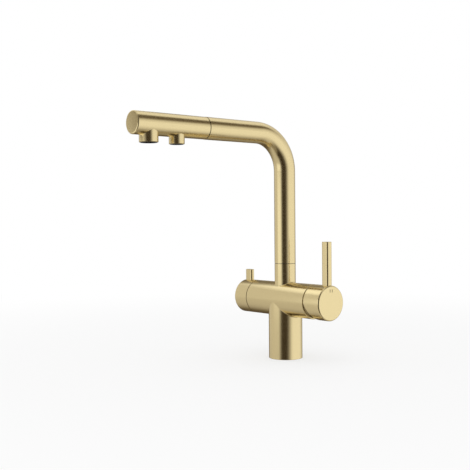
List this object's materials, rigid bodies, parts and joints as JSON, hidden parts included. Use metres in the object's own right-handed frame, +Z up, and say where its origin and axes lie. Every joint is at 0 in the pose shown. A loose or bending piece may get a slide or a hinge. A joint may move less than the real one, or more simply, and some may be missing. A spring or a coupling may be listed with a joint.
{
  "type": "three way filtered water tap",
  "caption": "Deck-mounted kitchen mixer tap in brushed gold with a round cross body, a side mixer lever, a second lever for filtered water and a pull-out spout head with separate outlets.",
  "frame": {"origin": "centre of the column's foot, on the worktop", "axes": "+Z up the column, +X along the cross body towards the mixer handle, -Y towards the spout's outlets"},
  "size_m": [0.1645, 0.2586, 0.3105],
  "materials": {
    "brushed_gold": "brushed gold coating, satin",
    "raw_brass": "turned",
    "stainless": "turned",
    "ceramic": "ground ceramic",
    "white_plastic": "moulded",
    "dark_plastic": "moulded",
    "seal_rubber": "moulded",
    "hose_braid": "nylon braid"
  },
  "bodies": {
    "tap_base": {"tap_body": "brushed_gold", "base_seal": "seal_rubber", "swivel_washer": "dark_plastic", "spout_retaining_screw": "stainless", "cartridge_base": "white_plastic", "cartridge_port_seals": "seal_rubber", "cartridge_fixed_disc": "ceramic", "cartridge_housing": "white_plastic", "cartridge_nut": "raw_brass", "cartridge_dome": "brushed_gold", "filter_headwork": "raw_brass", "filter_fixed_disc": "ceramic", "filter_seat_seal": "seal_rubber"},
    "mixer_turn": {"lever_guide": "white_plastic", "lever_pin": "stainless"},
    "mixer_handle": {"mixer_stem": "stainless", "mixer_handle": "brushed_gold", "mixer_lever": "brushed_gold", "mixer_set_screw": "stainless"},
    "mixer_disc": {"disc_carrier": "white_plastic", "cartridge_moving_disc": "ceramic"},
    "filter_knob": {"filter_knob": "brushed_gold", "filter_lever": "brushed_gold", "knob_set_screw": "stainless", "filter_spindle": "raw_brass", "filter_moving_disc": "ceramic"},
    "spout": {"spout_tube": "brushed_gold", "spout_spigot": "raw_brass", "swivel_o_rings": "seal_rubber", "swivel_slide_rings": "white_plastic", "docking_collar": "dark_plastic", "spout_hose": "hose_braid", "spout_filtered_hose": "white_plastic", "hose_end_fitting": "raw_brass"},
    "head": {"head_shell": "brushed_gold", "head_end_cap": "brushed_gold", "head_docking_nose": "dark_plastic", "head_hose": "hose_braid", "head_filtered_hose": "white_plastic", "head_hose_ferrule": "stainless", "head_waterway": "dark_plastic", "head_check_valve": "dark_plastic", "main_aerator_housing": "dark_plastic", "main_aerator_screen": "dark_plastic", "filter_outlet_housing": "dark_plastic", "filter_outlet_screen": "dark_plastic"}
  },
  "joints": [
    {"name": "mixer_temperature", "type": "hinge", "parent": "tap_base", "child": "mixer_turn", "pos_m": [0.054, 0, 0.0782], "axis": [1, 0, 0], "range_deg": [-45, 45]},
    {"name": "mixer_flow", "type": "hinge", "parent": "mixer_turn", "child": "mixer_handle", "pos_m": [0.054, 0, 0.0782], "axis": [0, 1, 0], "range_deg": [0, 25]},
    {"name": "mixer_disc_travel", "type": "slide", "parent": "mixer_turn", "child": "mixer_disc", "axis": [0, 0, 1], "range_m": [0, 0.00368]},
    {"name": "filter_valve", "type": "hinge", "parent": "tap_base", "child": "filter_knob", "pos_m": [-0.07, 0, 0.0782], "axis": [1, 0, 0], "range_deg": [0, 90]},
    {"name": "spout_swivel", "type": "hinge", "parent": "tap_base", "child": "spout", "pos_m": [0, 0, 0.126], "axis": [0, 0, 1], "range_deg": [-75, 75]},
    {"name": "head_pull_out", "type": "slide", "parent": "spout", "child": "head", "axis": [0, -1, 0], "range_m": [0, 0.07]}
  ],
  "couplings": [
    {"joint": "mixer_disc_travel", "follows": "mixer_flow", "m_per_rad": 0.0084327}
  ]
}
